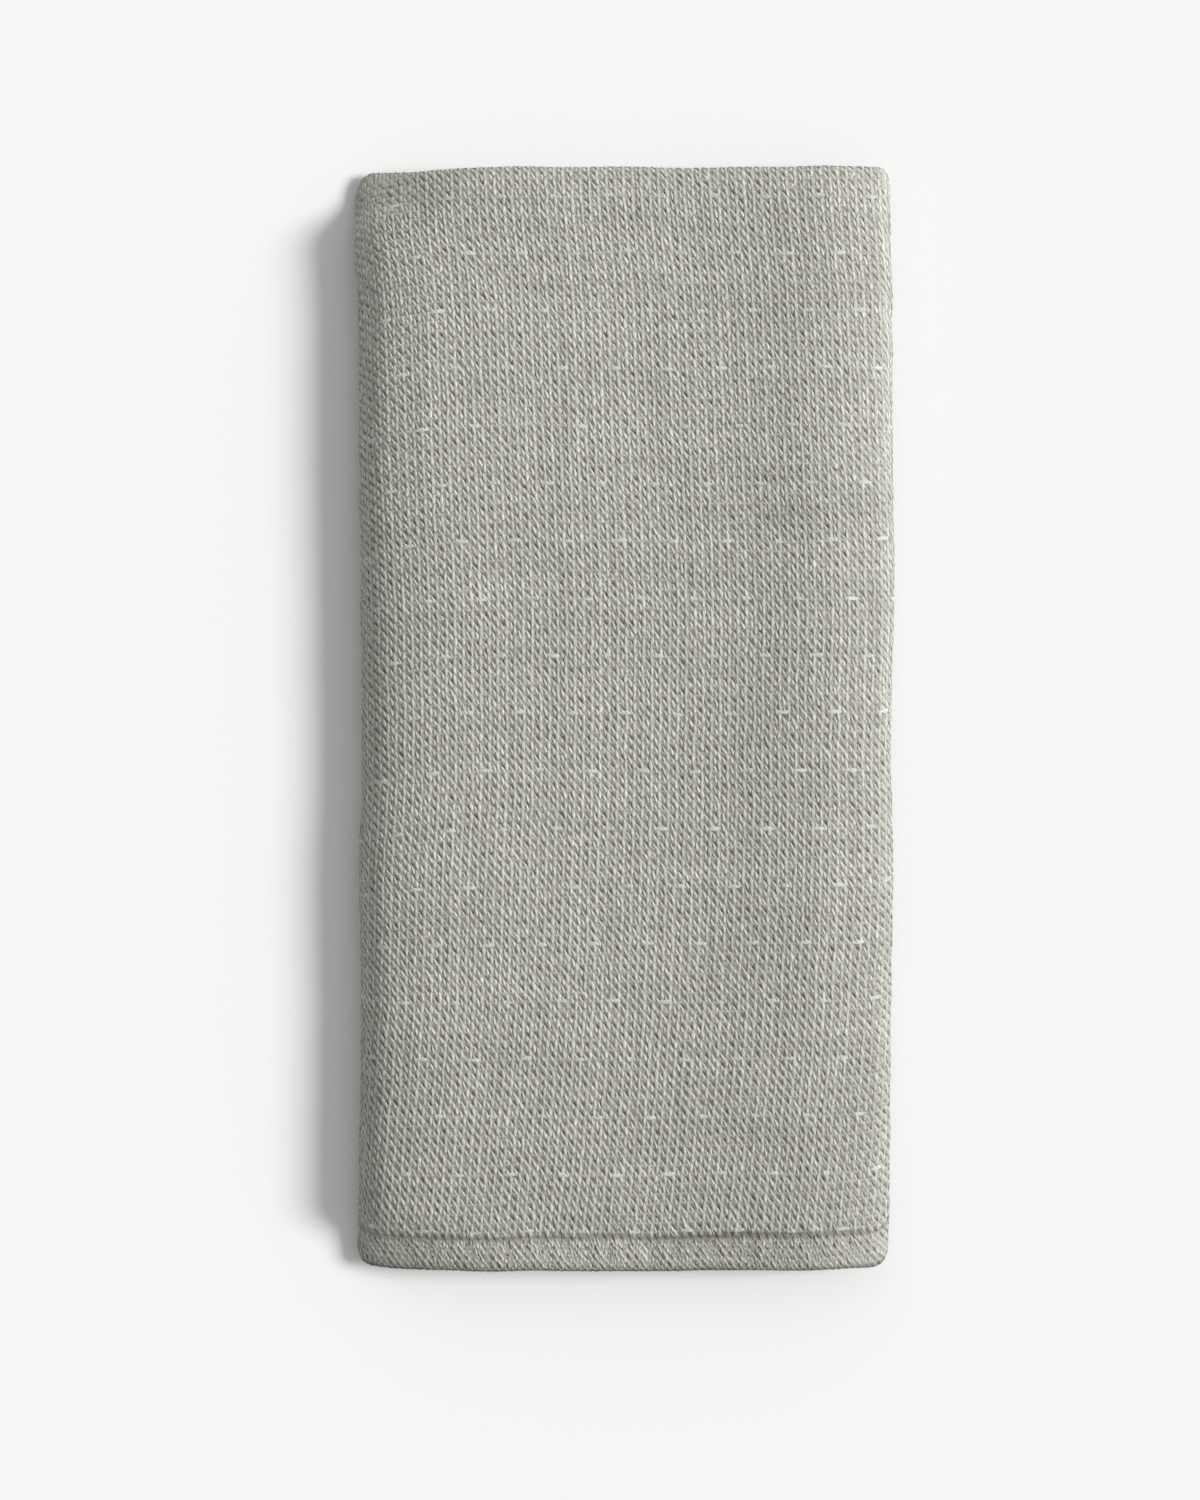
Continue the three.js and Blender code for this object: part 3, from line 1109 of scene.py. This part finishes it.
@dataclass
class YarnWork:
    """Yarn that lies on the cloth in separate stretches. The three kinds of it follow."""

    shape: FoldedShape
    lines: WeaveLines
    finish: FloatYarn = FloatYarn()
    spindle: Spindle = Spindle(5, 5)
    seed: int = 40
    # The tips take more of the painted shade
    dive: float = 0.85  # how much of its depth value a stretch loses at its tips

    def join(
        self, name: str, centre: Triple, size: Triple, lean: Array, tone: Array, arch: Array | float
    ) -> Piece:
        """Joins many spindles of yarn into one piece.

        Args:
            name: Name of the piece. Without the first word it is the material's name.
            centre: For each spindle its distance across, its distance around and its height.
            size: For each spindle its length, width and thickness, halved.
            lean: For each spindle its turn from the warp's way, in radians.
            tone: For each spindle its tone.
            arch: How far the tips lie below the middle.

        Returns:
            The piece. A spindle's point lies at the centre plus its lengthwise and crosswise shares,
            turned by the lean, and is raised by its share of the thickness minus arch times the
            lengthwise share squared.
        """
        points, faces, under = self.spindle.build()
        along, wide, high = points.T
        count, each = len(centre[0]), len(points)
        values = [np.broadcast_to(value, count)[:, None] for value in (*centre, *size, lean, tone, arch)]
        across, around, height, half_long, half_wide, half_high, lean, tone, arch = values
        a, b = half_long * along, half_wide * wide
        sin, cos = np.sin(lean), np.cos(lean)
        across = across + a * sin - b * cos
        around = around + a * cos + b * sin
        lift = height + half_high * high - arch * along**2
        placed = self.shape.place(across, around, lift).reshape(-1, 3)
        placed[:, 2] = np.maximum(placed[:, 2], OFF_FLOOR)
        joined = (np.arange(count)[:, None, None] * each + faces).reshape(-1, 3)
        # Painted shade: darker underneath and towards the tips
        depth = np.clip(0.5 + high, 0, 1) * (1 - self.dive * np.abs(along) ** 3)
        cells = math.ceil(math.sqrt(count))
        corner = np.stack([np.arange(count) % cells, np.arange(count) // cells], -1)[:, None, None, :]
        length = 0.5 + BAKE_HALF * along
        seen, hidden = (np.stack([length, mid + half * wide], -1)[faces] for mid, half in BAKE_ROWS)
        inside = np.where(under[:, None, None], hidden, seen)
        maps = {
            "cloth": np.stack([across, around], -1).reshape(-1, 2)[joined] * METRES,
            "OFBake": ((corner + inside) / cells).reshape(-1, 3, 2),
            # The tone carries the hem's painted shade
            "tone": (tone * self.shape.painted_hem_shade(across, around)).ravel(),
            "depth": np.tile(depth, count),
        }
        piece = write_mesh(name, placed, joined, maps)
        piece.data.normals_split_custom_set_from_vertices(broad_normals(placed, joined))
        piece.data.materials.append(self.finish.material(name.replace("towel_", "").replace("_", " ")))
        return piece


@dataclass
class WarpFloats(YarnWork):
    """The raised floats of the pale warp, which cover the outside of the towel.

    Pairs of sizes are of the steep columns' floats and of the leaning ones'.
    """

    length: Reach = (3.5, 3.45)
    width: Reach = (1.12, 0.9)
    arch: Reach = (0.27, 0.34)
    thickness: float = 0.46
    thin: Reach = (0.6, 0.4)  # share of the thickness, and what grows with the fineness
    top: float = 0.11  # how far the tallest floats stand above the cloth's face
    clear: float = 0.4  # share of its length that a float keeps from the stitching
    beside_seam: float = 2.0  # the floats nearer than this are moved off it
    band: float = 0.8  # fineness of the hem's band and of the layers' ends
    band_end: float = 15.0
    lip: float = 5.0  # how far the floats run into the gaps between the layers
    tucked: float = 13.0  # how far they run under the top panel at the right side
    fold_round: float = 14.0  # length of a crosswise fold that shows from behind
    fold_before: float = 3.0
    rim: float = 1.3
    jitter: Reach = (0.11, 0.17)  # unevenness of the places, across and along
    jitter_lean: float = 6.0
    jitter_size: Reach = (0.06, 0.1)
    jitter_height: float = 0.05
    jitter_tone: float = 0.06
    most: float = 2.2  # largest random number

    def patches(self) -> dict[str, tuple[Cover, list[Patch]]]:
        """The parts of the cloth that each piece covers.

        Returns:
            The cover and the patches by the piece's name: five on the outside, from the right fold
            over the top to the floor on the left, one at the other layers' ends, two underneath.
        """
        form, lip, rim = self.shape, self.lip, self.rim
        start, end = form.turns["right"] - self.tucked, form.turns["lowest"]
        last = form.across_total - rim
        fold = float(form.around_at(form.length - form.pair / 2, True))
        tip = float(form.around_at(math.inf, True))
        cuts = [0, fold / 4, fold / 2, 3 * fold / 4, fold + self.fold_round]
        found = {
            f"towel_floats_{label}": (Cover.OUTSIDE, [Patch((start, end), stretch)])
            for label, stretch in zip(("hem", "lower", "upper", "fold"), zip(cuts, cuts[1:]))
        }
        band = [Patch((start, end), (-lip, self.band_end), self.band)]
        found["towel_floats_band"] = (Cover.OUTSIDE, band)
        before = fold - self.fold_before
        ends = [
            Patch((rim, start), (-lip, lip), self.band),
            Patch((end, last), (-lip, lip), self.band),
            Patch((rim, last), (tip - lip, tip + lip), self.band),
            Patch((rim, start), (before, fold + self.fold_round)),
            Patch((end, last), (before, fold + self.fold_round)),
        ]
        found["towel_floats_ends"] = (Cover.ENDS, ends)
        middle = (form.length - self.fold_before) / 2
        for label, stretch in (("near", (lip, middle)), ("far", (middle, before))):
            found[f"towel_floats_under_{label}"] = (Cover.UNDERSIDE, [Patch((end, last), stretch)])
        return found

    def lay(self, name: str, cover: Cover, patches: list[Patch], seed: int) -> Piece:
        """Lays one piece's floats.

        Args:
            name: Name of the piece.
            cover: Where it lies.
            patches: The parts of the cloth that it covers.
            seed: Seed of the small differences from float to float.

        Returns:
            The piece. Floats on the hem's stitching are moved off it, and the hem's band stops there.
        """
        lines, form, self.spindle = self.lines, self.shape, cover.value
        across, even, parity, fine = np.hstack([patch.lattice(lines) for patch in patches])
        beyond = form.from_stitching(across, even + lines.bow(across, even))
        swayed = across + lines.sway_at(across, even)
        kept = ((beyond < 0) == (fine < 1)) | (cover is not Cover.OUTSIDE)
        kept &= (swayed > self.rim) & (swayed < form.across_total - self.rim)
        across, swayed, even, parity, fine = (row[kept] for row in (across, swayed, even, parity, fine))
        random = np.random.default_rng(seed).normal(0, 1, (7, len(across)))
        random = np.clip(random, -self.most, self.most)
        pairs = (self.length, self.width, self.arch)
        length, width, arch = (np.where(parity, leaning, steep) for steep, leaning in pairs)
        beside, jitter = lines.beside, self.jitter
        around = even + lines.bow(across, even) + beside[1] * parity * fine + jitter[1] * random[1]
        across = swayed + beside[0] * parity * fine + jitter[0] * random[0]
        lean = lines.lean_at(across, even, parity) + np.radians(self.jitter_lean) * random[2]
        apart = form.from_stitching(across, around)
        clear = np.where(apart < 0, -1, 1) * np.maximum(np.abs(apart), self.clear * length * fine)
        around = around + np.where(np.abs(apart) < self.beside_seam, clear - apart, 0)
        size = (
            length / 2 * fine * (1 + self.jitter_size[0] * random[3]),
            width / 2 * fine * (1 + self.jitter_size[1] * random[4]),
            self.thickness / 2 * (self.thin[0] + self.thin[1] * fine),
        )
        height = self.top - self.thickness / 2 + self.jitter_height * random[5]
        tone = YarnTone(form).at(across, even) / form.painted_hem_shade(across, even)
        tone = tone * (1 + self.jitter_tone * random[6])
        return self.join(name, (across, around, height), size, lean, tone, arch)

    def build(self) -> list[Piece]:
        """Builds every piece of floats, each with a seed of its own."""
        parts = enumerate(self.patches().items(), self.seed)
        return [self.lay(name, *part, seed) for seed, (name, part) in parts]


@dataclass
class TieThreads(YarnWork):
    """The light weft threads that tie the cloth's two faces, in rows of short dashes."""

    finish: FloatYarn = FloatYarn(colour=(0.51, 0.525, 0.5), deep=(0.44, 0.44, 0.4))
    first: float = 13.4  # first row from the hem's end
    row_pitch: float = 18.0
    pitch: float = 16.4
    shift: float = 5.9  # from one row to the next
    start: float = 8.1  # first dash of the first row, on the top panel
    dashes: tuple[int, int] = (-30, 40)  # numbers of the dashes of a row, more than the towel takes
    seed: int = 71
    margin: Reach = (3.0, 6.0)  # before the right fold, and at the lowest selvedge
    length: float = 6.2
    width: float = 1.3
    thickness: float = 0.5
    top: float = 0.06
    arch: float = 0.35
    jitter_size: float = 0.08
    jitter: Reach = (0.12, 0.04)  # unevenness along the towel and of the height
    jitter_tone: float = 0.05

    def spots(self) -> tuple[Array, Array]:
        """Finds the dashes.

        Returns:
            Their distances across and around, without the bow of the rows.
        """
        form, turns = self.shape, self.shape.turns
        rows = int((form.length - self.first) / self.row_pitch) + 1
        row, dash = np.meshgrid(np.arange(rows), np.arange(*self.dashes), indexing="ij")
        across = turns["top"] + self.start + self.pitch * dash + self.shift * row
        around = self.first + self.row_pitch * row + 0 * dash
        before, after = self.margin
        shown = (across > turns["right"] - before) & (across < form.across_total - after)
        return across[shown], around[shown]

    def build(self) -> Piece:
        """Builds the dashes.

        Returns:
            The piece: spindles that lie along the rows, a little unlike each other.
        """
        across, even = self.spots()
        random = np.random.default_rng(self.seed).normal(0, 1, (4, len(across)))
        bow = self.lines.bow
        around = even + bow(across, even) + self.jitter[0] * random[0]
        lean = math.pi / 2 - (bow(across + 1, even) - bow(across - 1, even)) / 2
        long, wide = 1 + self.jitter_size * random[1], 1 + self.jitter_size * random[2]
        size = (self.length / 2 * long, self.width / 2 * wide, self.thickness / 2)
        centre = (across, around, self.top - self.thickness / 2 + self.jitter[1] * random[3])
        tone = 1 + self.jitter_tone * random[3]
        return self.join("towel_tie_threads", centre, size, lean, tone, self.arch)


@dataclass
class HemStitches(YarnWork):
    """The sunken stitches that hold the hem."""

    # The stitches' dark colour is partly the thread's own and partly painted shade of the groove, and deep
    # is painted shade underneath
    finish: FloatYarn = FloatYarn(colour=(0.3, 0.27, 0.21), deep=(0.18, 0.16, 0.12))
    seed: int = 72
    pitch: float = 2.7
    length: float = 2.2
    width: float = 0.42
    thickness: float = 0.4
    sunk: float = 0.38
    arch: float = 0.3
    lean: float = 0.12  # from the line of the stitching, in radians
    margin: Reach = (4.0, 2.0)  # before the right fold, and at the lowest selvedge
    jitter: tuple[float, float, float] = (0.1, 0.08, 0.08)  # unevenness across, along and of the lean

    def build(self) -> Piece:
        """Builds the stitches.

        Returns:
            The piece: spindles end to end along the bottom of the groove.
        """
        form = self.shape
        before, after = self.margin
        across = np.arange(form.turns["right"] - before, form.across_total - after, self.pitch)
        depth = column(STITCH_LINE, "x", "depth", self.lines.face_x(across))
        random = np.random.default_rng(self.seed).normal(0, 1, (3, len(across)))
        moved = [size * values for size, values in zip(self.jitter, random)]
        centre = (across + moved[0], form.around_at(depth, True) + moved[1], -self.sunk)
        size = (self.length / 2, self.width / 2, self.thickness / 2)
        lean = math.pi / 2 + self.lean + moved[2]
        return self.join("towel_hem_stitches", centre, size, lean, 1.0, self.arch)


@dataclass(frozen=True)
class Studio:
    """The camera straight above, the pale floor and the soft light from the right, in metres."""

    lens: float = 85.0
    long_side: float = 0.471  # what the picture's long side takes in
    target: tuple[float, float, float] = (-0.0077, -0.0102, 0.010)
    floor: float = 6.0
    floor_colour: Colour = (0.86, 0.86, 0.86)
    lamp_elevation: float = 33.5
    lamp_turn: float = 3.5  # from the right towards the far end
    lamp_breadth: float = 20.0  # the angle that the lamp fills
    lamp_power: float = 3.5
    sky: float = 0.46
    sky_slope: float = 0.55  # how much brighter the sky is on the side of sky_turn
    sky_turn: float = 40.0
    sky_least: float = 0.3
    horizon: float = 0.85  # the pale band behind the floor's far edge
    horizon_top: float = 0.15

    def camera(self) -> None:
        """Sets the camera straight above the towel, with the closed fold at the top of the picture."""
        data = bpy.data.cameras.new("camera")
        data.lens = self.lens
        away = self.long_side * self.lens / data.sensor_width
        eye = stand("camera", data)
        eye.location = Vector(self.target) + Vector((0, 0, away))
        bpy.context.scene.camera = eye

    def ground(self) -> None:
        """Lays the plain pale floor."""
        half = self.floor / 2 / METRES
        corners = half * np.array([[-1, -1, 0], [1, -1, 0], [1, 1, 0], [-1, 1, 0]])
        floor = write_mesh("floor", corners, np.array([[0, 1, 2, 3]]), {})
        finish = Finish("floor")
        finish.constants(Base_Color=(*self.floor_colour, 1), Roughness=1.0, Specular_IOR_Level=0.0)
        floor.data.materials.append(finish.material)

    def lamp(self) -> None:
        """Lights the towel with one broad soft lamp from the right."""
        up, turn = math.radians(self.lamp_elevation), math.radians(self.lamp_turn)
        toward = Vector((math.cos(up) * math.cos(turn), math.cos(up) * math.sin(turn), math.sin(up)))
        data = bpy.data.lights.new("soft lamp", "SUN")
        data.angle = math.radians(self.lamp_breadth)
        data.energy = self.lamp_power
        lamp = stand("soft lamp", data)
        lamp.location = toward
        lamp.rotation_mode = "QUATERNION"
        lamp.rotation_quaternion = toward.to_track_quat("Z", "Y")

    def pale_sky(self) -> None:
        """Fills in with a pale sky: sky * (1 + sky_slope * the way's share towards sky_turn)."""
        world = bpy.data.worlds.new("sky")
        world.use_nodes = True
        nodes = Nodes(world.node_tree)
        way = nodes.add("TexCoord").outputs["Generated"]
        turn = math.radians(self.sky_turn)
        brighter = (math.cos(turn), math.sin(turn), 0.0)
        share = nodes.add("VectorMath", {"operation": "DOT_PRODUCT"}, i0=way, i1=brighter)
        light = nodes.math("MULTIPLY_ADD", share.outputs["Value"], self.sky * self.sky_slope, self.sky)
        light = nodes.math("MAXIMUM", light, self.sky_least)
        up = nodes.add("SeparateXYZ", Vector=way).outputs["Z"]
        smooth = {"interpolation_type": "SMOOTHSTEP"}
        above = nodes.add("MapRange", smooth, Value=up, From_Min=0.0, From_Max=self.horizon_top)
        light = nodes.add("Mix", {}, i0=above.outputs[0], i2=self.horizon, i3=light).outputs[0]
        background = world.node_tree.nodes["Background"]
        background.inputs["Color"].default_value = (1, 1, 1, 1)
        world.node_tree.links.new(light, background.inputs["Strength"])
        bpy.context.scene.world = world

    def build(self) -> None:
        """Builds the studio and has colours shown as they are."""
        self.camera()
        self.ground()
        self.lamp()
        self.pale_sky()
        bpy.context.scene.view_settings.view_transform = "Standard"


def carry(piece: Piece) -> Piece:
    """Ties a piece to the towel's body and returns it."""
    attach(piece, BODY)
    return piece


def main() -> None:
    logging.basicConfig(level=logging.INFO, format="%(name)s: %(message)s")
    Studio().build()
    shape = FoldedShape()
    lines = WeaveLines(shape)
    ground = carry(GroundCloth(shape, lines).build())
    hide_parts(NODE)
    log.info("%s: %d faces", ground.name, len(ground.data.polygons))
    yarn = [carry(piece) for piece in WarpFloats(shape, lines).build()]
    yarn += [carry(work(shape, lines).build()) for work in (TieThreads, HemStitches)]
    for piece in yarn:
        log.info("%s: %d faces", piece.name, len(piece.data.polygons))


if __name__ == "__main__":
    main()
